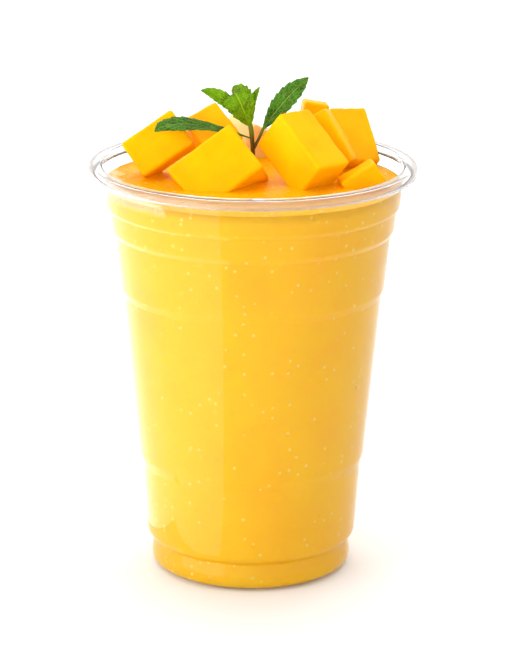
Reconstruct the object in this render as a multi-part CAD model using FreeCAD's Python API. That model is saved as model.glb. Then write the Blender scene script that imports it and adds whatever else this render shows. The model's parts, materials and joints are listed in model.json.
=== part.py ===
"""Mango smoothie in a clear plastic cup, topped with mango cubes and a sprig of mint.

Millimetres, +Z up. The origin is the middle of the foot, on the surface the cup stands on,
so the whole cup is centred on the Z axis and the lowest point is z = 0.
"""
import FreeCAD, Part
import math
import os

from FreeCAD import Placement, Rotation, Vector

# ---------------------------------------------------------------- overall sizes
MOUTH_RADIUS = 49.0         # outside of the rolled rim
CUP_HEIGHT = 125.0          # foot to the top of the rim
WALL = 0.5                  # thickness of the moulded wall
DRINK_BELOW_RIM = 5.7       # the drink stops this far below the top of the rim
DRINK_DOME = 0.6            # the drink stands this much higher in the middle

# ---------------------------------------------------------------- rolled rim
RIM_OVERHANG = 3.67         # how far the roll stands out from the wall
RIM_DROP = 3.35             # height of the roll, top to underside
RIM_TUCK = 2.45             # how far the roll tucks back in under its outside
RIM_ROUND = 1.45            # corner radius of the roll

# ---------------------------------------------------------------- stepped wall
# Each band is a plain cone that narrows by its lean over its length; below each band the
# wall steps in over a short sloping ledge.
# The bands above the long one hang from the rim and those below it stand on the foot, so
# the long band takes up any change of height.
UPPER_BANDS = (
    # name, length, lean, ledge below: height, step in
    ("collar", 12.16, 1.25, 0.86, 0.91),
    ("stacking band", 6.12, 0.66, 1.53, 1.00),
    ("upper band", 16.53, 1.76, 2.20, 0.85),
)
LONG_BAND_LEAN = 4.65
LONG_BAND_LEDGE_HEIGHT = 2.98
LONG_BAND_LEDGE_IN = 0.87
LOWER_BAND_LENGTH = 22.34
LOWER_BAND_LEAN = 1.67
LEDGE_OUTER_ROUND = 1.6     # the soft outside corner of every step
LEDGE_INNER_ROUND = 0.4     # the tight inside corner of every step
SHOULDER_ROUND = 4.0        # the rounder corner above the foot groove

# ---------------------------------------------------------------- foot
GROOVE_HEIGHT = 8.49        # height of the groove above the table
GROOVE_IN = 2.06            # how far the wall steps in to the groove
SHOULDER_HEIGHT = 1.89      # height of the slope from the shoulder to the groove
FOOT_OUT = 0.63             # how far the foot bulges back out
FOOT_BULGE_HEIGHT = 4.6
FOOT_CORNER_HEIGHT = 1.76   # where the round of the foot starts
FOOT_ROUND_IN = 3.02        # how far in the round of the foot meets the table
STANDING_RING_WIDTH = 3.66  # flat ring the cup stands on
PUNT_SLOPE_WIDTH = 2.2      # slope from the standing ring to the raised middle
PUNT_RISE = 2.3
PUNT_CROWN = 3.0

# ---------------------------------------------------------------- toppings
# The toppings are laid out inside a wall of this radius at the drink, and follow the real one.
LAYOUT_RADIUS = 44.24
UNEVEN_DEG = 1.3            # how far the knife strays on any one side of a cube
CUBE_ROUND = 0.7            # softened edges of a cube
# name, three sides, middle (x, y, height above the drink at the wall), turns (yaw, pitch, roll)
CUBES = (
    ("mango_cube_far_left", (18.2, 12.4, 11.4), (-28.0, 4.2, 9.5), (9.4, -32.7, -117.0)),
    ("mango_cube_back_left", (15.6, 12.6, 13.3), (-12.4, 16.9, 8.7), (-43.1, 39.0, -148.6)),
    ("mango_cube_front_left", (23.1, 17.1, 17.0), (-10.1, -8.2, 3.7), (15.1, -36.0, -125.3)),
    ("mango_cube_front_right", (21.7, 13.5, 14.2), (14.7, -6.4, 9.9), (-43.3, 40.8, -1.5)),
    ("mango_cube_inner_right", (8.4, 17.8, 12.5), (21.2, 7.6, 9.9), (-102.0, -11.7, -57.7)),
    ("mango_cube_back_middle", (8.3, 18.7, 9.3), (17.7, 32.8, 8.0), (3.5, 10.1, 85.1)),
    ("mango_cube_back_right", (13.6, 18.8, 9.4), (29.0, 21.3, 7.5), (35.4, 7.9, 52.1)),
    ("mango_cube_small_right", (10.3, 12.1, 10.0), (32.8, -8.2, 1.0), (-2.2, 58.9, -99.5)),
    ("mango_cube_pale_back", (11.5, 15.5, 10.2), (-1.5, 32.5, 5.2), (33.4, 31.5, 1.7)),
)

# ---------------------------------------------------------------- mint
STEM_RADIUS = 0.75
STEM_SUNK = 7.0             # the stem stands this deep in the drink
# stations of the stem, as height above the drink and place across the cup
STEM_PATH = ((0.0, 4.6, -STEM_SUNK), (0.0, 4.6, 3.0), (-0.1, 4.7, 8.5), (-0.5, 4.9, 13.4),
             (-1.0, 5.1, 16.4))
STALK_RADIUS = 0.5          # the short stalk of the leaf on the right
STALK_PATH = ((-0.1, 4.7, 8.5), (1.5, 5.2, 11.3), (2.9, 5.4, 14.6))
LEAF_THICK = 0.45
LEAF_STATIONS = 19          # odd, so that the teeth alternate
LEAF_LANES = (-1.0, -0.55, 0.0, 0.55, 1.0)
LEAF_TOOTH = 0.075          # depth of the saw edge as a share of the half width
LEAF_TIP_SHARE = 0.05       # width left at the very tip and foot
LEAF_POINT = 0.85           # how fast a leaf narrows to its tip
# base, point half way along, tip, half width, way the upper side looks, fold at the midrib,
# how slowly the leaf widens from its foot
LEAVES = (
    ("flat", (-0.5, 5.2, 11.7), (-18.7, -1.5, 17.3), (-29.0, -5.2, 15.9), 4.1,
     (-0.12, -0.33, 0.94), 3.0, 1.3),
    ("middle", (-1.0, 4.9, 15.5), (-4.5, 4.6, 23.9), (-5.8, 10.0, 24.0), 4.5,
     (-0.10, -0.95, 0.30), 8.0, 0.75),
    ("curled", (-1.4, 5.2, 16.6), (-8.9, 6.6, 23.2), (-15.7, 7.0, 25.8), 2.3,
     (-0.10, -0.70, 0.70), 10.0, 0.75),
    ("narrow", (-0.8, 5.2, 15.8), (-0.3, 6.0, 22.0), (1.9, 7.0, 27.0), 1.6,
     (-0.70, -0.70, 0.10), 12.0, 0.75),
    ("right", (2.5, 5.4, 13.8), (8.7, 5.0, 22.4), (16.3, 6.2, 30.1), 3.4,
     (-0.55, -0.80, 0.24), 8.0, 1.15),
)

DRINK_LEVEL = CUP_HEIGHT - DRINK_BELOW_RIM


def wall_corners(inset):
    """Corners of the stepped wall from the rim down to the groove, moved inwards by inset."""
    radius = MOUTH_RADIUS - RIM_OVERHANG
    height = CUP_HEIGHT
    corners = [(radius - inset, height, 0.0)]
    for _, length, lean, ledge_height, ledge_in in UPPER_BANDS:
        radius -= lean
        height -= length
        corners.append((radius - inset, height, LEDGE_OUTER_ROUND))
        radius -= ledge_in
        height -= ledge_height
        corners.append((radius - inset, height, LEDGE_INNER_ROUND))
    radius -= LONG_BAND_LEAN
    height = GROOVE_HEIGHT + SHOULDER_HEIGHT + LOWER_BAND_LENGTH + LONG_BAND_LEDGE_HEIGHT
    corners.append((radius - inset, height, LEDGE_OUTER_ROUND))
    radius -= LONG_BAND_LEDGE_IN
    height -= LONG_BAND_LEDGE_HEIGHT
    corners.append((radius - inset, height, LEDGE_INNER_ROUND))
    radius -= LOWER_BAND_LEAN
    height -= LOWER_BAND_LENGTH
    corners.append((radius - inset, height, SHOULDER_ROUND))
    return corners


def foot_corners(inset):
    """Corners of the groove, the foot and the raised middle, moved inwards by inset."""
    groove = wall_corners(inset)[-1][0] - GROOVE_IN
    foot = groove + FOOT_OUT
    standing = foot - FOOT_ROUND_IN + 0.7 * inset
    ring = standing - STANDING_RING_WIDTH
    punt = ring - PUNT_SLOPE_WIDTH
    return [
        (groove, GROOVE_HEIGHT, LEDGE_INNER_ROUND),
        (foot, FOOT_BULGE_HEIGHT, 5.0),
        (foot, FOOT_CORNER_HEIGHT + 0.4 * inset, 2.2),
        (standing, inset, 7.0),
        (ring + 0.6 * inset, inset, 0.8),
        (punt + 0.6 * inset, PUNT_RISE + inset, 1.2),
        (0.0, PUNT_CROWN + inset, 0.0),
    ]


def wall_radius_at(height):
    """Inside radius of the collar at a height."""
    (top_r, top_z, _), (foot_r, foot_z, _) = wall_corners(WALL)[:2]
    return foot_r + (top_r - foot_r) * (height - foot_z) / (top_z - foot_z)


SPREAD = wall_radius_at(DRINK_LEVEL) / LAYOUT_RADIUS


def rounded_profile(corners):
    """Join corners (radius, height, round) by straight edges with the corners rounded off.

    Returns the list of edges, in the XZ plane, from the first corner to the last.
    """
    points = [Vector(r, 0, z) for r, z, _ in corners]
    edges = []
    last = points[0]
    for index in range(1, len(points) - 1):
        here = points[index]
        back = points[index - 1] - here
        ahead = points[index + 1] - here
        turn = math.pi - back.getAngle(ahead)
        reach = corners[index][2] * math.tan(turn / 2)
        reach = min(reach, 0.48 * back.Length, 0.48 * ahead.Length)
        if reach < 0.02:
            edges.append(Part.makeLine(last, here))
            last = here
            continue
        start = here + back.normalize() * reach
        end = here + ahead.normalize() * reach
        radius = reach / math.tan(turn / 2)
        middle = (back + ahead).normalize()
        crown = here + middle * (radius / math.cos(turn / 2) - radius)
        edges.append(Part.makeLine(last, start))
        edges.append(Part.Arc(start, crown, end).toShape())
        last = end
    edges.append(Part.makeLine(last, points[-1]))
    return edges


def revolve(edges):
    """Spin a closed run of edges round the Z axis into a solid."""
    face = Part.Face(Part.Wire(edges))
    solid = face.revolve(Vector(0, 0, 0), Vector(0, 0, 1), 360)
    if solid.Volume < 0:
        solid.reverse()
    return solid


def cup():
    """The clear cup: rolled rim, stepped wall, groove, foot and shallow raised base."""
    outer_r = MOUTH_RADIUS
    top = CUP_HEIGHT
    under = CUP_HEIGHT - RIM_DROP
    wall_r = MOUTH_RADIUS - RIM_OVERHANG
    tuck_r = outer_r - RIM_TUCK
    roll = [
        (wall_r, top - WALL, 0.25),
        (outer_r - WALL, top - WALL, RIM_ROUND - WALL),
        (outer_r - WALL, under + WALL, 0.8),
        (tuck_r, under + WALL, 0.0),
        (tuck_r, under, 0.0),
        (outer_r, under, RIM_ROUND - 0.25),
        (outer_r, top, RIM_ROUND),
        (wall_r - WALL, top, 0.7),
    ]
    outside = list(reversed(wall_corners(0.0)[1:] + foot_corners(0.0)))
    inside = wall_corners(WALL)[1:] + foot_corners(WALL)
    edges = rounded_profile(outside + roll + inside)
    edges.append(Part.makeLine(Vector(0, 0, PUNT_CROWN + WALL), Vector(0, 0, PUNT_CROWN)))
    return revolve(edges)


def drink_body():
    """The smoothie before the toppings are sunk in it, filling the cup up to its level."""
    wall_r = wall_radius_at(DRINK_LEVEL)
    inside = [(wall_r, DRINK_LEVEL, 0.0)] + wall_corners(WALL)[1:] + foot_corners(WALL)
    edges = rounded_profile(inside)
    crown = Vector(0, 0, DRINK_LEVEL + DRINK_DOME)
    edges.append(Part.makeLine(Vector(0, 0, PUNT_CROWN + WALL), crown))
    half = Vector(wall_r / 2, 0, DRINK_LEVEL + 0.75 * DRINK_DOME)
    edges.append(Part.Arc(crown, half, Vector(wall_r, 0, DRINK_LEVEL)).toShape())
    return revolve(edges)


def closed_solid(faces):
    """Sew loose faces that close a space into one outward-facing solid."""
    shell = Part.makeShell(faces)
    shell.sewShape()
    solid = Part.Solid(Part.Shell(shell.Faces))
    if solid.Volume < 0:
        solid.reverse()
    return solid


def meeting_point(planes):
    """The one point shared by three planes, each given as (normal, distance)."""
    (n1, d1), (n2, d2), (n3, d3) = planes
    top = n2.cross(n3) * d1 + n3.cross(n1) * d2 + n1.cross(n2) * d3
    return top * (1.0 / n1.dot(n2.cross(n3)))


def mango_cube(number, sides, middle, turns):
    """One hand-cut cube: six flat sides that stray a little from square, with soft edges."""
    planes = {}
    for axis in range(3):
        for sign in (-1, 1):
            count = 2 * axis + (sign + 1) // 2
            lean = math.radians(UNEVEN_DEG)
            part = [0.0, 0.0, 0.0]
            part[axis] = float(sign)
            part[(axis + 1) % 3] = math.sin(lean) * math.cos(2.4 * number + 1.9 * count)
            part[(axis + 2) % 3] = math.sin(lean) * math.sin(1.7 * number + 2.3 * count)
            normal = Vector(*part).normalize()
            planes[(axis, sign)] = (normal, sides[axis] * SPREAD / 2)
    corner = {}
    for i in (-1, 1):
        for j in (-1, 1):
            for k in (-1, 1):
                corner[(i, j, k)] = meeting_point([planes[(0, i)], planes[(1, j)], planes[(2, k)]])
    faces = []
    for axis in range(3):
        for sign in (-1, 1):
            ring = []
            for a, b in ((-1, -1), (1, -1), (1, 1), (-1, 1)):
                key = [0, 0, 0]
                key[axis] = sign
                key[(axis + 1) % 3] = a
                key[(axis + 2) % 3] = b
                ring.append(corner[tuple(key)])
            if sign < 0:
                ring.reverse()
            faces.append(Part.Face(Part.makePolygon(ring + [ring[0]])))
    solid = closed_solid(faces)
    solid = solid.makeFillet(CUBE_ROUND, solid.Edges)
    where = Vector(middle[0] * SPREAD, middle[1] * SPREAD, DRINK_LEVEL + middle[2] * SPREAD)
    solid.Placement = Placement(where, Rotation(*turns)).multiply(solid.Placement)
    return solid


def at_toppings(place):
    """A place given across the cup and above the drink, as a point of the part."""
    return Vector(place[0] * SPREAD, place[1] * SPREAD, DRINK_LEVEL + place[2] * SPREAD)


def leaf_half_width(share, half_width, station, spread_power):
    """Half width of a leaf at a share of its length, with the saw edge."""
    widest = spread_power / (spread_power + LEAF_POINT)
    full = widest ** spread_power * (1.0 - widest) ** LEAF_POINT
    body = (share ** spread_power) * ((1.0 - share) ** LEAF_POINT) / full
    body = max(LEAF_TIP_SHARE, min(1.0, body))
    tooth = LEAF_TOOTH if station % 2 else -LEAF_TOOTH
    if share < 0.12 or share > 0.97:
        tooth = 0.0
    return half_width * SPREAD * body * (1.0 + tooth)


def leaf(base, half_way, tip, half_width, looks, fold, spread_power):
    """One thin mint leaf, folded a little along its midrib and sawn along both edges."""
    start, through, end = at_toppings(base), at_toppings(half_way), at_toppings(tip)
    pull = through * 2 - (start + end) * 0.5
    up_hint = Vector(*looks)
    lift = math.tan(math.radians(fold))
    over, under = [], []
    for station in range(LEAF_STATIONS):
        share = station / (LEAF_STATIONS - 1)
        rest = 1.0 - share
        spine = start * rest ** 2 + pull * 2 * share * rest + end * share ** 2
        along = ((pull - start) * rest + (end - pull) * share).normalize()
        side = up_hint.cross(along).normalize()
        up = along.cross(side).normalize()
        width = leaf_half_width(share, half_width, station, spread_power)
        row_over, row_under = [], []
        for lane in LEAF_LANES:
            point = spine + side * (lane * width) + up * (abs(lane) * width * lift)
            row_over.append(point + up * (LEAF_THICK / 2))
            row_under.append(point - up * (LEAF_THICK / 2))
        over.append(row_over)
        under.append(row_under)
    faces = []

    def panel(a, b, c, d):
        for three in ((a, b, c), (a, c, d)):
            faces.append(Part.Face(Part.makePolygon([three[0], three[1], three[2], three[0]])))

    last = len(LEAF_LANES) - 1
    for i in range(LEAF_STATIONS - 1):
        for j in range(last):
            panel(over[i][j], over[i + 1][j], over[i + 1][j + 1], over[i][j + 1])
            panel(under[i][j], under[i][j + 1], under[i + 1][j + 1], under[i + 1][j])
        panel(over[i][0], under[i][0], under[i + 1][0], over[i + 1][0])
        panel(over[i][last], over[i + 1][last], under[i + 1][last], under[i][last])
    for j in range(last):
        panel(over[0][j], over[0][j + 1], under[0][j + 1], under[0][j])
        panel(over[-1][j], under[-1][j], under[-1][j + 1], over[-1][j + 1])
    return closed_solid(faces)


def stalk(places, thick_radius):
    """A round stalk through places given across the cup and above the drink."""
    curve = Part.BSplineCurve()
    curve.interpolate([at_toppings(place) for place in places])
    path = Part.Wire([curve.toShape()])
    ring = Part.makeCircle(thick_radius * SPREAD, at_toppings(places[0]),
                           curve.tangent(curve.FirstParameter)[0])
    solid = path.makePipeShell([Part.Wire([ring])], True, True)
    if solid.Volume < 0:
        solid.reverse()
    return solid


def mint_sprig():
    """Stem and leaves of one mint sprig, joined into one solid."""
    sprig = stalk(STEM_PATH, STEM_RADIUS).fuse(stalk(STALK_PATH, STALK_RADIUS))
    for _, base, half_way, tip, half_width, looks, fold, spread_power in LEAVES:
        sprig = sprig.fuse(leaf(base, half_way, tip, half_width, looks, fold, spread_power))
    return sprig


def single(shape, name):
    """The one solid of a shape, or an error that names the node."""
    solids = shape.Solids
    if len(solids) != 1 or not shape.isValid():
        raise RuntimeError("%s: %d solids, valid %s" % (name, len(solids), shape.isValid()))
    return solids[0]


def clear_of(solid, others):
    """The solid, pressed in by each of the others that would otherwise run into it."""
    for other in others:
        if solid.common(other).Volume > 1e-6:
            solid = solid.cut(other)
    return solid


def main():
    """Build every node and write it to its own file."""
    os.makedirs("parts", exist_ok=True)
    nodes = {"cup": single(cup(), "cup"), "mint_sprig": single(mint_sprig(), "mint_sprig")}
    for number, (name, sides, middle, turns) in enumerate(CUBES):
        cube = clear_of(mango_cube(number, sides, middle, turns), nodes.values())
        nodes[name] = single(cube, name)
    drink = drink_body()
    for name, solid in nodes.items():
        if name != "cup":
            drink = drink.cut(solid)
    nodes["smoothie"] = single(drink, "smoothie")
    for name, solid in nodes.items():
        solid.exportStep("parts/%s.step" % name)
        box = solid.BoundBox
        print("%-26s %9.1f mm3  z %.2f..%.2f" % (name, solid.Volume, box.ZMin, box.ZMax))


main()
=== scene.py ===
"""Looks of the mango smoothie: clear plastic cup, thick drink, mango cubes and a mint sprig.

Everything is in metres in the row frame: +Z up, the middle of the cup's foot at the origin.
"""

import json
import logging
import math
from dataclasses import dataclass
from enum import Enum
from typing import Sequence

import bmesh
import bpy
from mathutils import Matrix, Vector, noise
from mathutils.bvhtree import BVHTree

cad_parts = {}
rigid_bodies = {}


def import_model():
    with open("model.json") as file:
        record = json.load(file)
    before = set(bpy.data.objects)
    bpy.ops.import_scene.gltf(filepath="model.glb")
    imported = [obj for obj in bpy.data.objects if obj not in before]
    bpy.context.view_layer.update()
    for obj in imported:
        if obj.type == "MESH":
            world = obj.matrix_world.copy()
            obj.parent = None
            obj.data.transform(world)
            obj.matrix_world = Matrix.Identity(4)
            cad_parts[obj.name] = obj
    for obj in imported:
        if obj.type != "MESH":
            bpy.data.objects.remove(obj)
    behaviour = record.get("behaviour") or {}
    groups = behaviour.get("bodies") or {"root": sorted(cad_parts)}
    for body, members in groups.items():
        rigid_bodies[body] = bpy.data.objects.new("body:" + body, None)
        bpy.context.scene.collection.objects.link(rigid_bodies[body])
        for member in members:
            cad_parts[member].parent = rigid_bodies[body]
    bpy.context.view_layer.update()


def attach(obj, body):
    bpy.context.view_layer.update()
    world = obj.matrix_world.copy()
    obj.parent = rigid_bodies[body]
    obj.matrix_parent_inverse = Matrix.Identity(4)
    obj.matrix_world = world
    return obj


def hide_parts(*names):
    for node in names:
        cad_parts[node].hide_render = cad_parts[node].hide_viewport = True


MM = 0.001
LOG = logging.getLogger("smoothie")
RGB = tuple[float, float, float]
CORNER_SHARE = 0.48     # a rounding takes at most this share of a straight
LEAST_REACH = 0.02      # a rounding shorter than this, in mm, is left sharp
DOT_EDGE = 9.0          # how crisp the edge of a pulp speck is
LEAF_VEINS = 9.0        # side veins, and teeth, along a leaf
VEIN_SLANT = 0.28       # how far a side vein runs forward, as a share of the leaf's length


# ------------------------------------------------------------------ helpers
class LeafFinish(Enum):
    """Which of the sprig's finishes a leaf wears, by its material slot on the sprig."""

    DARK = 1
    YOUNG = 2


@dataclass(frozen=True)
class Corner:
    """A corner of a turned profile.

    Args:
        radius: distance from the axis, in mm.
        height: height above the table, in mm.
        round: radius of the rounding at this corner, in mm.
    """

    radius: float
    height: float
    round: float = 0.0


def rounded(corners: Sequence[Corner], steps: int = 5, reach_step: float = 4.0) -> list[Vector]:
    """Points along a profile whose corners are rounded off.

    Args:
        corners: the corners from one end to the other.
        steps: spans on each rounding.
        reach_step: longest straight span, in mm.

    Returns:
        Points in the XZ plane, in metres.
    """
    here = [Vector((c.radius, 0.0, c.height)) for c in corners]
    points = [here[0]]
    for index in range(1, len(here) - 1):
        back = here[index - 1] - here[index]
        ahead = here[index + 1] - here[index]
        turn = math.pi - back.angle(ahead)
        longest = CORNER_SHARE * min(back.length, ahead.length)
        reach = min(corners[index].round * math.tan(turn / 2), longest)
        if reach < LEAST_REACH:
            points.append(here[index])
            continue
        start = here[index] + back.normalized() * reach
        radius = reach / math.tan(turn / 2)
        inwards = (back.normalized() + ahead.normalized()).normalized()
        centre = here[index] + inwards * (radius / math.cos(turn / 2))
        first = start - centre
        axis = first.cross(here[index] + ahead.normalized() * reach - centre).normalized()
        for step in range(steps + 1):
            points.append(centre + Matrix.Rotation(turn * step / steps, 3, axis) @ first)
    points.append(here[-1])
    filled = [points[0]]
    for point in points[1:]:
        span = point - filled[-1]
        parts = max(1, math.ceil(span.length / reach_step))
        start = filled[-1].copy()
        filled.extend(start + span * (part / parts) for part in range(1, parts + 1))
    return [point * MM for point in filled]


def spin_profile(points: Sequence[Vector], segments: int) -> bmesh.types.BMesh:
    """Turn a profile round the Z axis into a closed skin.

    Args:
        points: the profile, in metres.
        segments: steps round the axis.

    Returns:
        The new mesh with outward normals.
    """
    mesh = bmesh.new()
    verts = [mesh.verts.new(point) for point in points]
    edges = [mesh.edges.new(pair) for pair in zip(verts, verts[1:])
             if (pair[0].co - pair[1].co).length > 1e-9]
    bmesh.ops.spin(mesh, geom=verts + edges, cent=(0, 0, 0), axis=(0, 0, 1), angle=2 * math.pi,
                   steps=segments, use_merge=True)
    bmesh.ops.remove_doubles(mesh, verts=mesh.verts, dist=1e-7)
    bmesh.ops.dissolve_degenerate(mesh, edges=mesh.edges, dist=1e-8)
    bmesh.ops.recalc_face_normals(mesh, faces=mesh.faces)
    return mesh


def to_object(mesh: bmesh.types.BMesh, name: str,
              materials: Sequence[bpy.types.Material]) -> bpy.types.Object:
    """Put a bmesh into a new, smooth-shaded object of the scene.

    Args:
        mesh: the mesh, which is freed.
        name: name of the object and its data.
        materials: its material slots.

    Returns:
        The new object, at the origin.
    """
    data = bpy.data.meshes.new(name)
    for face in mesh.faces:
        face.smooth = True
    mesh.to_mesh(data)
    mesh.free()
    for material in materials:
        data.materials.append(material)
    thing = bpy.data.objects.new(name, data)
    bpy.context.scene.collection.objects.link(thing)
    return thing


# ------------------------------------------------------------------ node tools
class NodeTree:
    """A short way to write shader nodes.

    Args:
        tree: the node tree to fill.
    """

    def __init__(self, tree: bpy.types.NodeTree) -> None:
        """Keep the tree."""
        self.tree = tree

    def add(self, kind: str, **inputs: object) -> bpy.types.Node:
        """Add a node.

        Args:
            kind: the node's type without the ShaderNode prefix.
            inputs: properties (lower case names of the node) or inputs, by name with _ for a space.

        Returns:
            The node.
        """
        node = self.tree.nodes.new("ShaderNode" + kind)
        for name, value in inputs.items():
            if hasattr(node, name) and name not in ("color",):
                setattr(node, name, value)
                continue
            socket = node.inputs[name.replace("_", " ")]
            self.feed(socket, value)
        return node

    def feed(self, socket: bpy.types.NodeSocket, value: object) -> None:
        """Link a socket into an input, or set the input to a constant.

        Args:
            socket: the input.
            value: an output socket or a constant.
        """
        if isinstance(value, bpy.types.NodeSocket):
            self.tree.links.new(value, socket)
        else:
            socket.default_value = value

    def math(self, operation: str, a: object, b: object = 0.0,
             clamp: bool = False) -> bpy.types.NodeSocket:
        """Add a math node.

        Args:
            operation: its operation.
            a: first value.
            b: second value.
            clamp: keep the result within 0 and 1.

        Returns:
            The result socket.
        """
        node = self.tree.nodes.new("ShaderNodeMath")
        node.operation = operation
        node.use_clamp = clamp
        self.feed(node.inputs[0], a)
        self.feed(node.inputs[1], b)
        return node.outputs[0]

    def spread(self, value: object, low: float, high: float, to_low: float = 0.0,
               to_high: float = 1.0) -> bpy.types.NodeSocket:
        """Map a value from one range to another, clamped and smoothed.

        Args:
            value: the value.
            low: start of the range read.
            high: end of the range read.
            to_low: result at low.
            to_high: result at high.

        Returns:
            The result socket.
        """
        node = self.tree.nodes.new("ShaderNodeMapRange")
        node.interpolation_type = "SMOOTHSTEP"
        for socket, what in zip(node.inputs, (value, low, high, to_low, to_high)):
            self.feed(socket, what)
        return node.outputs[0]

    def blend(self, share: object, first: object, second: object) -> bpy.types.NodeSocket:
        """Mix two colours.

        Args:
            share: share of the second.
            first: first colour.
            second: second colour.

        Returns:
            The mixed colour socket.
        """
        node = self.tree.nodes.new("ShaderNodeMix")
        node.data_type = "RGBA"
        for index, what in ((0, share), (6, first), (7, second)):
            if isinstance(what, tuple) and len(what) == 3:
                what = (*what, 1.0)
            self.feed(node.inputs[index], what)
        return node.outputs[2]

    def scaled(self, source: bpy.types.NodeSocket, scale: RGB,
               turn: RGB = (0.0, 0.0, 0.0)) -> bpy.types.NodeSocket:
        """Scale and turn coordinates.

        Args:
            source: the coordinates.
            scale: scale on each axis.
            turn: turn on each axis, in degrees.

        Returns:
            The mapped coordinates.
        """
        node = self.tree.nodes.new("ShaderNodeMapping")
        self.tree.links.new(source, node.inputs["Vector"])
        node.inputs["Scale"].default_value = scale
        node.inputs["Rotation"].default_value = [math.radians(t) for t in turn]
        return node.outputs[0]

    def layer(self, mask: object, strength: float, under: object, over: object) -> bpy.types.NodeSocket:
        """Lay a colour over another where a mask says so.

        Args:
            mask: where it lies.
            strength: how much of it shows there.
            under: colour below.
            over: colour laid on.

        Returns:
            The mixed colour socket.
        """
        return self.blend(self.math("MULTIPLY", mask, strength), under, over)


@dataclass(frozen=True)
class Flesh:
    """How light goes into and off a soft, moist thing.

    Args:
        ior: index of refraction of its surface.
        weight: share of the light that goes in.
        radius: how far each colour travels, against the others.
        scale: how far the light travels, in metres.
        specular: strength of its gloss.
    """

    ior: float
    weight: float
    radius: RGB
    scale: float
    specular: float = 0.5

    def apply(self, shader: bpy.types.Node) -> None:
        """Set these values on a Principled shader."""
        shader.inputs["IOR"].default_value = self.ior
        shader.inputs["Specular IOR Level"].default_value = self.specular
        shader.inputs["Subsurface Weight"].default_value = self.weight
        shader.inputs["Subsurface Radius"].default_value = self.radius
        shader.inputs["Subsurface Scale"].default_value = self.scale


@dataclass(frozen=True)
class Relief:
    """Fine relief in a surface: how strong it is, and its height in metres."""

    strength: float
    depth: float

    def apply(self, tree: NodeTree, shader: bpy.types.Node, height: bpy.types.NodeSocket) -> None:
        """Press a height pattern into a shader's surface.

        Args:
            tree: the material's tree.
            shader: its Principled shader.
            height: the pattern.
        """
        bump = tree.add("Bump", Strength=self.strength, Distance=self.depth, Height=height)
        tree.feed(shader.inputs["Normal"], bump.outputs[0])


def new_material(name: str) -> tuple[bpy.types.Material, NodeTree, bpy.types.Node]:
    """A material with one Principled shader.

    Args:
        name: the material's name.

    Returns:
        The material, its node tree and its Principled node.
    """
    material = bpy.data.materials.new(name)
    material.use_nodes = True
    tree = NodeTree(material.node_tree)
    return material, tree, material.node_tree.nodes["Principled BSDF"]


def speckle_group() -> bpy.types.NodeTree:
    """The shared pulp specks: small soft-edged dots, only some of whose cells are filled.

    Returns:
        A node group with coordinates, cell size, dot size and share in, and a mask out.
    """
    group = bpy.data.node_groups.get("pulp specks")
    if group:
        return group
    group = bpy.data.node_groups.new("pulp specks", "ShaderNodeTree")
    group.interface.new_socket("Vector", in_out="INPUT", socket_type="NodeSocketVector")
    for name, value in (("Cells", 400.0), ("Dot", 0.3), ("Share", 0.3)):
        socket = group.interface.new_socket(name, in_out="INPUT", socket_type="NodeSocketFloat")
        socket.default_value = value
    group.interface.new_socket("Mask", in_out="OUTPUT", socket_type="NodeSocketFloat")
    tree = NodeTree(group)
    into = group.nodes.new("NodeGroupInput")
    out = group.nodes.new("NodeGroupOutput")
    cells = tree.add("TexVoronoi", Vector=into.outputs["Vector"], Scale=into.outputs["Cells"],
                     Randomness=1.0)
    chance = tree.add("SeparateColor", Color=cells.outputs["Color"]).outputs[0]
    kept = tree.math("LESS_THAN", chance, into.outputs["Share"])
    near = tree.math("SUBTRACT", into.outputs["Dot"], cells.outputs["Distance"])
    soft = tree.math("MULTIPLY", near, DOT_EDGE, clamp=True)
    group.links.new(tree.math("MULTIPLY", soft, kept), out.inputs["Mask"])
    return group


@dataclass(frozen=True)
class Specks:
    """One kind of speck in the drink.

    Args:
        cells: cells in a metre.
        dot: size of a dot as a share of its cell.
        share: share of the cells that hold one.
        strength: how strongly it shows.
        colour: its colour.
    """

    cells: float
    dot: float
    share: float
    strength: float
    colour: RGB

    def over(self, tree: NodeTree, where: bpy.types.NodeSocket,
             under: bpy.types.NodeSocket) -> bpy.types.NodeSocket:
        """Strew the specks over a colour.

        Args:
            tree: the material's tree.
            where: coordinates.
            under: the colour below them.

        Returns:
            The mixed colour socket.
        """
        node = tree.tree.nodes.new("ShaderNodeGroup")
        node.node_tree = speckle_group()
        tree.feed(node.inputs["Vector"], where)
        for name, value in (("Cells", self.cells), ("Dot", self.dot), ("Share", self.share)):
            node.inputs[name].default_value = value
        return tree.layer(node.outputs["Mask"], self.strength, under, self.colour)


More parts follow.
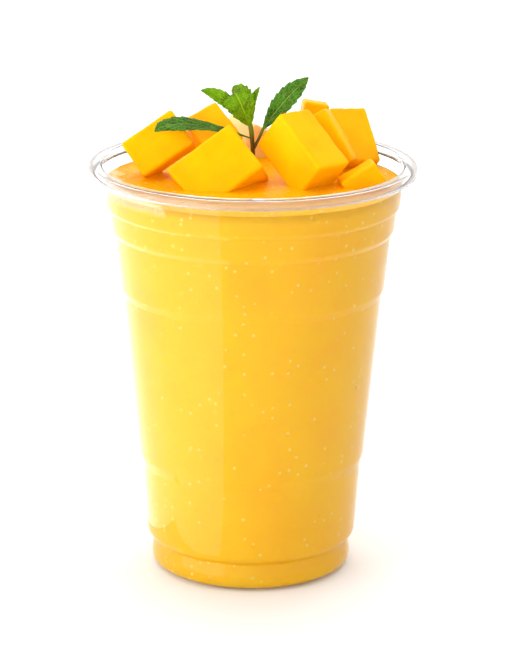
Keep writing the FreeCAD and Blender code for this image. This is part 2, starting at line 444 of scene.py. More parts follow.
# ------------------------------------------------------------------ finishes
@dataclass(frozen=True)
class ClearPlastic:
    """Clear moulded plastic with the faintest flow marks; the thick rolled rim gets a pale painted tint that
    stands in for its soft reflections.

    Args:
        ior: index of refraction.
        roughness: roughness of the plain wall.
        clear: tint of the wall.
        rim_reflection_tint: pale tint of the roll, a painted reflection.
        rim_reflection_clearness: share of the light that still goes through the roll under the painted
            reflection.
        rolled_from: radius at which the roll begins, in metres.
        rolled_over: width over which the tint comes in, in metres.
        flow: relief of the flow marks.
    """

    ior: float = 1.36
    roughness: float = 0.035
    clear: RGB = (0.99, 0.992, 0.99)
    # painted pale reflection on the rolled rim, and how much light still passes under it
    rim_reflection_tint: RGB = (0.74, 0.7, 0.68)
    rim_reflection_clearness: float = 0.88
    rolled_from: float = 0.0466
    rolled_over: float = 0.001
    flow: Relief = Relief(0.05, 0.0004)

    def build(self) -> bpy.types.Material:
        """Make the material.

        Returns:
            The material.
        """
        material, tree, shader = new_material("clear plastic")
        where = tree.add("TexCoord").outputs["Object"]
        flow = tree.add("TexNoise", Vector=tree.scaled(where, (60, 60, 8)), Scale=1.0, Detail=2.0)
        part = tree.add("SeparateXYZ", Vector=where)
        squared = tree.math("ADD", tree.math("MULTIPLY", part.outputs[0], part.outputs[0]),
                            tree.math("MULTIPLY", part.outputs[1], part.outputs[1]))
        rolled = tree.spread(squared, self.rolled_from ** 2, (self.rolled_from + self.rolled_over) ** 2)
        # paint the pale rim reflection into the roll's colour, and let less light through there
        tree.feed(shader.inputs["Base Color"], tree.blend(rolled, self.clear, self.rim_reflection_tint))
        tree.feed(shader.inputs["Transmission Weight"],
                  tree.spread(rolled, 0.0, 1.0, 1.0, self.rim_reflection_clearness))
        shader.inputs["IOR"].default_value = self.ior
        tree.feed(shader.inputs["Roughness"],
                  tree.spread(flow.outputs[0], 0.3, 0.7, self.roughness * 0.6, self.roughness * 1.5))
        self.flow.apply(tree, shader, flow.outputs[0])
        return material


@dataclass(frozen=True)
class Puree:
    """Thick mango puree with fine pulp, and froth where the mesh says so.

    Args:
        body: main colour.
        deep: colour of its darker clouds.
        top: colour of the open surface.
        top_from: height at which the open surface begins, in metres.
        top_to: height at which it is all open surface, in metres.
        pulp: colour of the fine pulp.
        froth: colour of the froth.
        bubble: colour between its bubbles.
        specks: pale pulp, deeper pulp and dark fibre ends.
        flesh: how light goes in.
        relief: relief of the pulp.
    """

    body: RGB = (1.0, 0.58, 0.004)
    deep: RGB = (1.0, 0.54, 0.002)
    top: RGB = (0.99, 0.45, 0.001)
    top_from: float = 0.1188
    top_to: float = 0.1193
    pulp: RGB = (1.0, 0.62, 0.03)
    froth: RGB = (1.0, 0.86, 0.58)
    bubble: RGB = (1.0, 0.72, 0.3)
    specks: tuple[Specks, ...] = (
        Specks(380.0, 0.24, 0.4, 0.8, (1.0, 0.76, 0.16)),
        Specks(300.0, 0.17, 0.3, 0.7, (0.95, 0.36, 0.004)),
        Specks(130.0, 0.08, 0.12, 0.8, (0.35, 0.1, 0.01)))
    flesh: Flesh = Flesh(1.12, 0.2, (1.0, 0.4, 0.02), 0.003)
    relief: Relief = Relief(0.35, 0.0003)

    def build(self) -> bpy.types.Material:
        """Make the material.

        Returns:
            The material.
        """
        material, tree, shader = new_material("mango puree")
        where = tree.add("TexCoord").outputs["Object"]
        cloud = tree.add("TexNoise", Vector=where, Scale=45.0, Detail=4.0, Roughness=0.6)
        fine = tree.add("TexNoise", Vector=where, Scale=900.0, Detail=3.0, Roughness=0.65)
        colour = tree.blend(tree.spread(cloud.outputs[0], 0.38, 0.66), self.body, self.deep)
        lifted = tree.add("SeparateXYZ", Vector=where).outputs[2]
        colour = tree.layer(tree.spread(lifted, self.top_from, self.top_to), 0.85, colour, self.top)
        colour = tree.blend(tree.spread(fine.outputs[0], 0.45, 0.75, 0.0, 0.3), colour, self.pulp)
        for kind in self.specks:
            colour = kind.over(tree, where, colour)
        foam = tree.add("Attribute", attribute_name="froth").outputs["Fac"]
        bubbles = tree.add("TexVoronoi", Vector=where, Scale=1100.0, Randomness=1.0)
        between = tree.spread(bubbles.outputs["Distance"], 0.1, 0.7)
        foam_colour = tree.blend(between, self.froth, self.bubble)
        colour = tree.blend(foam, colour, foam_colour)
        tree.feed(shader.inputs["Base Color"], colour)
        tree.feed(shader.inputs["Roughness"], tree.spread(fine.outputs[0], 0.3, 0.7, 0.24, 0.42))
        self.flesh.apply(shader)
        height = tree.math("ADD", fine.outputs[0], tree.math("MULTIPLY", cloud.outputs[0], 1.5))
        self.relief.apply(tree, shader, height)
        return material


@dataclass(frozen=True)
class MangoFlesh:
    """Moist cut mango: smooth, with fine fibres that run one way through the piece.

    Args:
        name: name of the material.
        light: main colour.
        deep: colour of its darker clouds.
        fibre: colour of the fibres.
        fibre_share: how strongly they show.
        flesh: how light goes in.
        relief: relief of the fibres.
    """

    name: str = "mango flesh"
    light: RGB = (1.0, 0.52, 0.0015)
    deep: RGB = (1.0, 0.43, 0.001)
    fibre: RGB = (1.0, 0.6, 0.05)
    fibre_share: float = 0.3
    flesh: Flesh = Flesh(1.36, 0.3, (1.0, 0.35, 0.01), 0.004, specular=0.085)
    relief: Relief = Relief(0.25, 0.0002)

    def build(self) -> bpy.types.Material:
        """Make the material.

        Returns:
            The material.
        """
        material, tree, shader = new_material(self.name)
        where = tree.add("TexCoord").outputs["Object"]
        cloud = tree.add("TexNoise", Vector=where, Scale=70.0, Detail=3.0, Roughness=0.5)
        combed = tree.scaled(where, (1500, 260, 1500), (25, 40, 15))
        strands = tree.add("TexNoise", Vector=combed, Scale=1.0, Detail=3.0, Roughness=0.6)
        colour = tree.blend(tree.spread(cloud.outputs[0], 0.35, 0.68), self.light, self.deep)
        patch = tree.add("TexNoise", Vector=where, Scale=110.0, Detail=1.0)
        fibres = tree.math("MULTIPLY", tree.spread(strands.outputs[0], 0.5, 0.72),
                           tree.spread(patch.outputs[0], 0.5, 0.72, 0.12, 1.0))
        colour = tree.layer(fibres, self.fibre_share, colour, self.fibre)
        tree.feed(shader.inputs["Base Color"], colour)
        tree.feed(shader.inputs["Roughness"], tree.spread(strands.outputs[0], 0.3, 0.7, 0.3, 0.46))
        self.flesh.apply(shader)
        self.relief.apply(tree, shader, strands.outputs[0])
        return material


@dataclass(frozen=True)
class MintLeaf:
    """Fresh mint: veins drawn along and across the leaf, darker quilted fields between them.

    Args:
        name: name of the material.
        field_colour: colour of the fields.
        vein_colour: colour of the veins.
        under_colour: colour of the underside.
        dark_share: brightness of the dark parts of the fields against the rest.
        net_cells: cells of the fine vein net in a metre.
        flesh: how light goes in.
        relief: relief of veins and fields.
    """

    name: str
    field_colour: RGB
    vein_colour: RGB
    under_colour: RGB
    dark_share: float = 0.42
    net_cells: float = 900.0
    flesh: Flesh = Flesh(1.25, 0.15, (0.4, 1.0, 0.1), 0.0012)
    relief: Relief = Relief(0.9, 0.0004)

    def build(self) -> bpy.types.Material:
        """Make the material.

        Returns:
            The material.
        """
        material, tree, shader = new_material(self.name)
        where = tree.add("TexCoord")
        split = tree.add("SeparateXYZ", Vector=where.outputs["UV"])
        along, across = split.outputs[0], tree.math("ABSOLUTE", split.outputs[1], 0.0)
        midrib = tree.spread(across, 0.02, 0.09, 1.0, 0.0)
        slanted = tree.math("SUBTRACT", tree.math("MULTIPLY", along, LEAF_VEINS),
                            tree.math("MULTIPLY", across, LEAF_VEINS * VEIN_SLANT))
        wave = tree.math("ABSOLUTE", tree.math("SUBTRACT", tree.math("FRACT", slanted, 0.0), 0.5), 0.0)
        side = tree.math("MULTIPLY", tree.spread(wave, 0.0, 0.075, 1.0, 0.0),
                         tree.spread(across, 0.75, 1.0, 0.9, 0.2))
        cells = tree.add("TexVoronoi", Vector=where.outputs["Object"], Scale=self.net_cells,
                         feature="DISTANCE_TO_EDGE")
        net = tree.spread(cells.outputs["Distance"], 0.0, 0.16, 0.5, 0.0)
        veins = tree.math("MAXIMUM", tree.math("MAXIMUM", midrib, side), net)
        tone = tree.add("TexNoise", Vector=where.outputs["Object"], Scale=260.0, Detail=3.0)
        dark = tuple(channel * self.dark_share for channel in self.field_colour)
        colour = tree.blend(tree.spread(tone.outputs[0], 0.35, 0.7), self.field_colour, dark)
        colour = tree.layer(veins, 0.85, colour, self.vein_colour)
        under = tree.add("Attribute", attribute_name="under").outputs["Fac"]
        colour = tree.layer(under, 0.75, colour, self.under_colour)
        tree.feed(shader.inputs["Base Color"], colour)
        tree.feed(shader.inputs["Roughness"], tree.spread(tone.outputs[0], 0.3, 0.7, 0.38, 0.55))
        self.flesh.apply(shader)
        height = tree.math("SUBTRACT", tree.math("MULTIPLY", tone.outputs[0], 0.5), veins)
        self.relief.apply(tree, shader, height)
        return material


@dataclass(frozen=True)
class MintStem:
    """Soft green stem that browns towards its foot.

    Args:
        green: colour of its upper part.
        brown: colour of its foot.
        line: colour of the fine lines along it.
        brown_below: height under which it is brown, in mm.
        brown_over: height over which it turns green, in mm.
        relief: relief of the lines.
    """

    green: RGB = (0.12, 0.19, 0.012)
    brown: RGB = (0.07, 0.028, 0.005)
    line: RGB = (0.2, 0.26, 0.03)
    brown_below: float = 129.5
    brown_over: float = 5.0
    relief: Relief = Relief(0.4, 0.0002)

    def build(self) -> bpy.types.Material:
        """Make the material.

        Returns:
            The material.
        """
        material, tree, shader = new_material("mint stem")
        where = tree.add("TexCoord").outputs["Object"]
        height = tree.add("SeparateXYZ", Vector=where).outputs[2]
        lines = tree.add("TexNoise", Vector=tree.scaled(where, (2500, 2500, 300)), Scale=1.0, Detail=2.0)
        share = tree.spread(height, self.brown_below * MM, (self.brown_below + self.brown_over) * MM)
        colour = tree.blend(share, self.brown, self.green)
        colour = tree.blend(tree.spread(lines.outputs[0], 0.4, 0.7, 0.0, 0.4), colour, self.line)
        tree.feed(shader.inputs["Base Color"], colour)
        tree.feed(shader.inputs["Roughness"], tree.spread(lines.outputs[0], 0.3, 0.7, 0.4, 0.6))
        self.relief.apply(tree, shader, lines.outputs[0])
        return material


# ------------------------------------------------------------------ the cup
@dataclass(frozen=True)
class Band:
    """One plain band of the wall and the small ledge below it, in mm.

    Args:
        length: height of the band.
        lean: how far it narrows.
        ledge_height: height of the ledge.
        ledge_in: how far the ledge steps in.
    """

    length: float
    lean: float
    ledge_height: float
    ledge_in: float


@dataclass
class Cup:
    """The clear stepped cup, turned from its named sizes (mm)."""

    mouth_radius: float = 49.0
    height: float = 125.0
    wall: float = 0.5
    rim_overhang: float = 3.67
    rim_drop: float = 3.35
    rim_tuck: float = 2.45
    rim_round: float = 1.45
    upper_bands: tuple[Band, ...] = (
        Band(12.16, 1.25, 0.86, 0.91), Band(6.12, 0.66, 1.53, 1.00), Band(16.53, 1.76, 2.20, 0.85))
    long_lean: float = 4.65
    long_ledge_height: float = 2.98
    long_ledge_in: float = 0.87
    lower_length: float = 22.34
    lower_lean: float = 1.67
    ledge_outer_round: float = 1.6
    ledge_inner_round: float = 0.4
    shoulder_round: float = 4.0
    groove_height: float = 8.49
    groove_in: float = 2.06
    shoulder_height: float = 1.89
    foot_out: float = 0.63
    foot_bulge_height: float = 4.6
    foot_corner_height: float = 1.76
    foot_round_in: float = 3.02
    ring_width: float = 3.66
    punt_slope: float = 2.2
    punt_rise: float = 2.3
    punt_crown: float = 3.0
    segments: int = 288

    def wall_corners(self, inset: float) -> list[Corner]:
        """Corners of the wall from the rim to the foot groove.

        Args:
            inset: how far inside the outer face, in mm.

        Returns:
            The corners, top first.
        """
        radius, height = self.mouth_radius - self.rim_overhang, self.height
        corners = [Corner(radius - inset, height)]
        for band in self.upper_bands:
            radius, height = radius - band.lean, height - band.length
            corners.append(Corner(radius - inset, height, self.ledge_outer_round))
            radius, height = radius - band.ledge_in, height - band.ledge_height
            corners.append(Corner(radius - inset, height, self.ledge_inner_round))
        radius -= self.long_lean
        height = self.groove_height + self.shoulder_height + self.lower_length + self.long_ledge_height
        corners.append(Corner(radius - inset, height, self.ledge_outer_round))
        radius, height = radius - self.long_ledge_in, height - self.long_ledge_height
        corners.append(Corner(radius - inset, height, self.ledge_inner_round))
        radius, height = radius - self.lower_lean, height - self.lower_length
        corners.append(Corner(radius - inset, height, self.shoulder_round))
        return corners

    def foot_corners(self, inset: float) -> list[Corner]:
        """Corners of the groove, foot and raised base.

        Args:
            inset: how far inside the outer face, in mm.

        Returns:
            The corners, top first, ending on the axis.
        """
        groove = self.wall_corners(inset)[-1].radius - self.groove_in
        foot = groove + self.foot_out
        standing = foot - self.foot_round_in + 0.7 * inset
        ring = standing - self.ring_width
        return [
            Corner(groove, self.groove_height, self.ledge_inner_round),
            Corner(foot, self.foot_bulge_height, 5.0),
            Corner(foot, self.foot_corner_height + 0.4 * inset, 2.2), Corner(standing, inset, 7.0),
            Corner(ring + 0.6 * inset, inset, 0.8),
            Corner(ring - self.punt_slope + 0.6 * inset, self.punt_rise + inset, 1.2),
            Corner(0.0, self.punt_crown + inset)]

    def build(self, finish: ClearPlastic) -> bpy.types.Object:
        """Turn the cup and give it its finish.

        Args:
            finish: the clear plastic.

        Returns:
            The cup.
        """
        under = self.height - self.rim_drop
        wall_r, tuck_r = self.mouth_radius - self.rim_overhang, self.mouth_radius - self.rim_tuck
        rim = [
            Corner(wall_r, self.height - self.wall, 0.25),
            Corner(self.mouth_radius - self.wall, self.height - self.wall, self.rim_round - self.wall),
            Corner(self.mouth_radius - self.wall, under + self.wall, 0.8),
            Corner(tuck_r, under + self.wall),
            Corner(tuck_r, under),
            Corner(self.mouth_radius, under, self.rim_round - 0.25),
            Corner(self.mouth_radius, self.height, self.rim_round),
            Corner(wall_r - self.wall, self.height, 0.7)]
        outside = list(reversed(self.wall_corners(0.0)[1:] + self.foot_corners(0.0)))
        inside = self.wall_corners(self.wall)[1:] + self.foot_corners(self.wall)
        mesh = spin_profile(rounded(outside + rim + inside, steps=6), self.segments)
        return to_object(mesh, "clear_cup", [finish.build()])


# ------------------------------------------------------------------ the toppings
@dataclass
class MangoCubes:
    """The hand-cut cubes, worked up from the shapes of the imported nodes.

    Args:
        nodes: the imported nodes.
        pale: the node of the paler cube.
        voxel: grain of the fine mesh, in mm.
        smoothing: passes that soften its edges.
        wander: how far the knife strays, in mm.
        pores: depth of the fine grain, in mm.
    """

    nodes: tuple[str, ...]
    pale: str
    voxel: float = 0.55
    smoothing: int = 2
    wander: float = 0.22
    pores: float = 0.05

    def shape(self, node: str, index: int) -> bmesh.types.BMesh:
        """A finely divided copy of a packed cube with a slightly wavering knife cut.

        Args:
            node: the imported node.
            index: number of the cube, for its own pattern.

        Returns:
            The new mesh.
        """
        source = bpy.data.objects[node].data.copy()
        mesh = bmesh.new()
        mesh.from_mesh(source)
        bmesh.ops.remove_doubles(mesh, verts=mesh.verts, dist=1e-6)
        mesh.to_mesh(source)
        mesh.free()
        work = bpy.data.objects.new("work", source)
        bpy.context.scene.collection.objects.link(work)
        remesh = work.modifiers.new("remesh", "REMESH")
        remesh.mode = "VOXEL"
        remesh.voxel_size = self.voxel * MM
        remesh.adaptivity = 0.0
        graph = bpy.context.evaluated_depsgraph_get()
        fine = bpy.data.meshes.new_from_object(work.evaluated_get(graph))
        bpy.data.objects.remove(work)
        mesh = bmesh.new()
        mesh.from_mesh(fine)
        bpy.data.meshes.remove(fine)
        for _ in range(self.smoothing):
            bmesh.ops.smooth_vert(mesh, verts=mesh.verts, factor=0.5, use_axis_x=True, use_axis_y=True,
                                  use_axis_z=True)
        mesh.normal_update()
        offset = Vector((index * 7.3, index * 3.1, index * 5.7))
        for vert in mesh.verts:
            place = vert.co / MM
            slow = noise.noise(place * 0.14 + offset)
            grain = noise.noise(Vector((place.x * 1.1, place.y * 0.3, place.z * 1.1)) + offset)
            move = self.wander * (slow - 0.35) + self.pores * (grain - 0.6)
            vert.co += vert.normal * (min(move, 0.0) * MM)
        return mesh

    def build(self, flesh: MangoFlesh, pale: MangoFlesh) -> list[bpy.types.Object]:
        """Build and dress every cube.

        Args:
            flesh: finish of the ripe cubes.
            pale: finish of the paler cube.

        Returns:
            The cubes.
        """
        ripe, light = flesh.build(), pale.build()
        made = []
        for index, node in enumerate(self.nodes):
            finish = light if node == self.pale else ripe
            made.append(to_object(self.shape(node, index), node.replace("mango_", "cut_"), [finish]))
            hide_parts(node)
        return made


@dataclass(frozen=True)
class Leaf:
    """One mint leaf, placed across, back and above the drink's level at the wall (mm).

    Args:
        name: which leaf it is.
        base: its foot.
        half_way: a point half way along it.
        tip: its tip.
        half_width: half its greatest width.
        looks: the way its upper side looks.
        fold: how far each side is folded up at the midrib, in degrees.
        spread_power: how slowly it widens from its foot.
        finish: its finish.
    """

    name: str
    base: RGB
    half_way: RGB
    tip: RGB
    half_width: float
    looks: RGB
    fold: float
    spread_power: float
    finish: LeafFinish


@dataclass
class Mint:
    """The sprig: thin folded leaves with a saw edge and quilted veins, on one stem.

    Args:
        level: height of the drink at the wall, in mm.
        leaves: the leaves.
        stem_radius: radius of the stem, in mm.
        stem_path: where the stem runs, above the drink, in mm.
        stalk_radius: radius of the short stalk, in mm.
        stalk_path: where it runs.
        leaf_point: how fast a leaf narrows to its tip.
        thick: thickness of a leaf, in mm.
        stations: rows of points along a leaf.
        lanes: points across a leaf.
        tooth: depth of the saw edge as a share of the half width.
        quilt: height of the quilting between the veins, in mm.
        wave: height of the slow waves in a leaf, in mm.
        midrib: depth of the midrib, in mm.
    """

    level: float
    leaves: tuple[Leaf, ...]
    stem_radius: float = 0.75
    stem_path: tuple[RGB, ...] = ((0.0, 4.6, -7.0), (0.0, 4.6, 3.0), (-0.1, 4.7, 8.5), (-0.5, 4.9, 13.4),
                                  (-1.0, 5.1, 16.4))
    stalk_radius: float = 0.5
    stalk_path: tuple[RGB, ...] = ((-0.1, 4.7, 8.5), (1.5, 5.2, 11.3), (2.9, 5.4, 14.6))
    leaf_point: float = 0.85
    thick: float = 0.34
    stations: int = 72
    lanes: int = 25
    tooth: float = 0.085
    quilt: float = 0.46
    wave: float = 0.35
    midrib: float = 0.2

    def place(self, point: RGB) -> Vector:
        """A place across, back and above the drink as a point of the part, in mm."""
        return Vector((point[0], point[1], point[2] + self.level))

    def half_width(self, share: float, leaf: Leaf) -> float:
        """Half width of a leaf, with its saw edge.

        Args:
            share: share of the leaf's length.
            leaf: the leaf.

        Returns:
            Half the width there, in mm.
        """
        power, point = leaf.spread_power, self.leaf_point
        widest = power / (power + point)
        body = share ** power * (1.0 - share) ** point / (widest ** power * (1.0 - widest) ** point)
        body = max(0.05, min(1.0, body))
        saw = (share * LEAF_VEINS) % 1.0
        tooth = self.tooth * (2.0 * saw - 1.0) if 0.1 < share < 0.97 else 0.0
        return leaf.half_width * body * (1.0 + tooth)

    def relief(self, share: float, lane: float, leaf: Leaf) -> float:
        """Height of a leaf's quilting, waves and midrib.

        Args:
            share: share of the leaf's length.
            lane: place across it, -1 to 1.
            leaf: the leaf.

        Returns:
            The height there, in mm.
        """
        far = abs(lane)
        phase = share * LEAF_VEINS - far * LEAF_VEINS * VEIN_SLANT
        bulge = self.quilt * abs(math.sin(math.pi * phase)) ** 0.6
        bulge *= math.sin(math.pi * min(1.0, far * 0.9 + 0.08))
        ripple = self.wave * noise.noise(Vector((share * 6, lane * 2.2, leaf.half_width * 3)))
        return bulge - self.midrib * (1 - far) ** 6 + ripple * far

    def blade(self, mesh: bmesh.types.BMesh, leaf: Leaf) -> None:
        """Add one leaf to the sprig's mesh.

        Args:
            mesh: the sprig's mesh, with its uv and under layers.
            leaf: the leaf.
        """
        uv = mesh.loops.layers.uv["UVMap"]
        under_mark = mesh.verts.layers.float["under"]
        start, through, end = self.place(leaf.base), self.place(leaf.half_way), self.place(leaf.tip)
        pull = through * 2 - (start + end) * 0.5
        lift = math.tan(math.radians(leaf.fold))
        sheets: list[list[list[bmesh.types.BMVert]]] = [[], []]
        where: dict[bmesh.types.BMVert, tuple[float, float]] = {}
        for station in range(self.stations):
            share = station / (self.stations - 1)
            rest = 1.0 - share
            spine = start * rest ** 2 + pull * (2 * share * rest) + end * share ** 2
            along = ((pull - start) * rest + (end - pull) * share).normalized()
            side = Vector(leaf.looks).cross(along).normalized()
            up = along.cross(side).normalized()
            width = self.half_width(share, leaf)
            rows: list[list[bmesh.types.BMVert]] = [[], []]
            for step in range(self.lanes):
                lane = 2 * step / (self.lanes - 1) - 1
                far = abs(lane)
                rise = far * width * lift + self.relief(share, lane, leaf) * min(1.0, width / 3.0)
                point = spine + side * (lane * width) + up * rise
                half = self.thick / 2 * (1.0 - 0.55 * far ** 6)
                for layer, sign in ((0, 1.0), (1, -1.0)):
                    vert = mesh.verts.new((point + up * (half * sign)) * MM)
                    vert[under_mark] = float(layer)
                    where[vert] = (share, lane)
                    rows[layer].append(vert)
            sheets[0].append(rows[0])
            sheets[1].append(rows[1])
        top, low = sheets
        faces = []
        for i in range(self.stations - 1):
            for j in range(self.lanes - 1):
                faces.append((top[i][j], top[i + 1][j], top[i + 1][j + 1], top[i][j + 1]))
                faces.append((low[i][j], low[i][j + 1], low[i + 1][j + 1], low[i + 1][j]))
            faces.append((top[i][0], low[i][0], low[i + 1][0], top[i + 1][0]))
            faces.append((top[i][-1], top[i + 1][-1], low[i + 1][-1], low[i][-1]))
        for j in range(self.lanes - 1):
            faces.append((top[0][j], top[0][j + 1], low[0][j + 1], low[0][j]))
            faces.append((top[-1][j], low[-1][j], low[-1][j + 1], top[-1][j + 1]))
        made = [mesh.faces.new(face) for face in faces]
        for face in made:
            face.material_index = leaf.finish.value
            for loop in face.loops:
                loop[uv].uv = where[loop.vert]
        bmesh.ops.recalc_face_normals(mesh, faces=made)

    def stalk(self, mesh: bmesh.types.BMesh, places: Sequence[RGB], thick_radius: float) -> None:
        """Add a stalk to the sprig's mesh.

        Args:
            mesh: the sprig's mesh.
            places: where the stalk runs.
            thick_radius: its radius, in mm.
        """
        path = [self.place(point) for point in places]
        spine: list[Vector] = []
        for index in range(len(path) - 1):
            before, after = path[max(0, index - 1)], path[min(len(path) - 1, index + 2)]
            for step in range(8):
                t = step / 8
                a, b = path[index], path[index + 1]
                spine.append(0.5 * (2 * a + (b - before) * t + (2 * before - 5 * a + 4 * b - after) * t ** 2
                                    + (3 * a - before - 3 * b + after) * t ** 3))
        spine.append(path[-1])
        around, rings = 20, []
        for index, point in enumerate(spine):
            along = (spine[min(index + 1, len(spine) - 1)] - spine[max(index - 1, 0)]).normalized()
            side = along.cross(Vector((0, 1, 0))).normalized()
            other = along.cross(side)
            share = index / (len(spine) - 1)
            ring = []
            for step in range(around):
                turn = 2 * math.pi * step / around
                square = 1.0 + 0.1 * math.cos(4 * turn)
                radius = thick_radius * square * (1.0 + 0.12 * math.sin(9 * share)) * (1.0 - 0.25 * share)
                out = side * math.cos(turn) + other * math.sin(turn)
                ring.append(mesh.verts.new((point + out * radius) * MM))
            rings.append(ring)
        made = [mesh.faces.new((one[k], one[(k + 1) % around], two[(k + 1) % around], two[k]))
                for one, two in zip(rings, rings[1:]) for k in range(around)]
        made += [mesh.faces.new(rings[0]), mesh.faces.new(rings[-1])]
        bmesh.ops.recalc_face_normals(mesh, faces=made)

    def build(self, stem: MintStem, finishes: Sequence[MintLeaf]) -> bpy.types.Object:
        """Build and dress the sprig.

        Args:
            stem: finish of the stem.
            finishes: finishes of the leaves, in the order of LeafFinish.

        Returns:
            The sprig.
        """
        mesh = bmesh.new()
        mesh.loops.layers.uv.new("UVMap")
        mesh.verts.layers.float.new("under")
        self.stalk(mesh, self.stem_path, self.stem_radius)
        self.stalk(mesh, self.stalk_path, self.stalk_radius)
        for leaf in self.leaves:
            self.blade(mesh, leaf)
            LOG.info("leaf %s: %.1f mm wide", leaf.name, 2 * leaf.half_width)
        return to_object(mesh, "fresh_mint", [stem.build()] + [finish.build() for finish in finishes])


# ------------------------------------------------------------------ the drink
@dataclass
class Drink:
    """The puree: fills the cup to just inside its wall, with a live surface round the toppings.

    Args:
        cup: the cup it fills.
        below_rim: how far below the top of the rim it stops, in mm.
        dome: how much higher it stands in the middle, in mm.
        into_wall: how far it reaches into the wall, so that no gap shows, in mm.
        ring_step: distance between the rings of its surface, in mm.
        segments: steps round the axis.
        meniscus: rise round a topping, in mm.
        reach: how far round a topping the surface is looked at, in metres.
        froth_from: where the froth begins, in degrees round the cup.
        froth_to: where it ends.
        froth_width: width of the froth, in mm.
    """

    cup: Cup
    below_rim: float = 5.7
    dome: float = 0.6
    into_wall: float = 0.2
    ring_step: float = 0.55
    segments: int = 256
    meniscus: float = 0.7
    reach: float = 0.006
    froth_from: float = 158.0
    froth_to: float = 236.0
    froth_width: float = 5.5

    @property
    def level(self) -> float:
        """Height of the drink at the wall, in mm."""
        return self.cup.height - self.below_rim

    def froth_share(self, x: float, y: float, edge: float) -> float:
        """How much froth lies at a place.

        Args:
            x: place across, in mm.
            y: place back, in mm.
            edge: distance in from the wall, in mm.

        Returns:
            0 for none to 1 for thick froth.
        """
        turn = math.degrees(math.atan2(y, x)) % 360.0
        middle, half = (self.froth_from + self.froth_to) / 2, (self.froth_to - self.froth_from) / 2
        along = max(0.0, 1.0 - (abs(turn - middle) / half) ** 4)
        ragged = 1.0 + 0.9 * noise.noise(Vector((x * 0.45, y * 0.45, 3.0))) + 0.5 * noise.noise(
            Vector((x * 1.6, y * 1.6, 9.0)))
        width = self.froth_width * along * ragged
        return max(0.0, min(1.0, (width - edge) / 0.8))

    def surface(self, mesh: bmesh.types.BMesh, toppings: Sequence[bpy.types.Object], wall_r: float) -> None:
        """Shape the top: ripples that calm towards the wall, a rise round each topping, and froth.

        Args:
            mesh: the drink's mesh, with its froth layer.
            toppings: what stands in the drink.
            wall_r: radius of the surface, in mm.
        """
        layer = mesh.verts.layers.float["froth"]
        trees = []
        for thing in toppings:
            work = bmesh.new()
            work.from_mesh(thing.data)
            trees.append(BVHTree.FromBMesh(work))
            work.free()
        for vert in mesh.verts:
            if vert.co.z / MM < self.level - 0.02:
                continue
            x, y = vert.co.x / MM, vert.co.y / MM
            edge = wall_r - math.hypot(x, y)
            found = (tree.find_nearest(vert.co, self.reach)[3] for tree in trees)
            near = min((gap for gap in found if gap is not None), default=self.reach) / MM
            froth = self.froth_share(x, y, edge)
            still = min(1.0, edge / 1.5)
            rise = 0.45 * noise.noise(Vector((x * 0.09, y * 0.09, 1.0)))
            rise += 0.16 * noise.noise(Vector((x * 0.35, y * 0.35, 5.0)))
            rise += 0.05 * noise.noise(Vector((x * 1.4, y * 1.4, 7.0)))
            rise = rise * still + self.meniscus * math.exp(-near / 1.1) * still
            rise += froth * (0.25 + 0.3 * noise.noise(Vector((x * 2.2, y * 2.2, 11.0)))) * still
            vert.co.z += rise * MM
            vert[layer] = froth

    def build(self, finish: Puree, toppings: Sequence[bpy.types.Object]) -> bpy.types.Object:
        """Build and dress the drink.

        Args:
            finish: the puree.
            toppings: what stands in the drink.

        Returns:
            The drink.
        """
        inset = self.cup.wall - self.into_wall
        top, foot = self.cup.wall_corners(inset)[:2]
        up = (self.level - foot.height) / (top.height - foot.height)
        wall_r = foot.radius + (top.radius - foot.radius) * up
        wall = self.cup.wall_corners(inset)[1:] + self.cup.foot_corners(inset)
        side = rounded([Corner(wall_r, self.level)] + wall)
        rings = int(wall_r / self.ring_step)
        cover = [Vector((wall_r * k / rings, 0, self.level + self.dome * (1 - (k / rings) ** 2))) * MM
                 for k in range(rings)]
        mesh = spin_profile(cover + side, self.segments)
        mesh.verts.layers.float.new("froth")
        self.surface(mesh, toppings, wall_r)
        mesh.normal_update()
        return to_object(mesh, "thick_drink", [finish.build()])


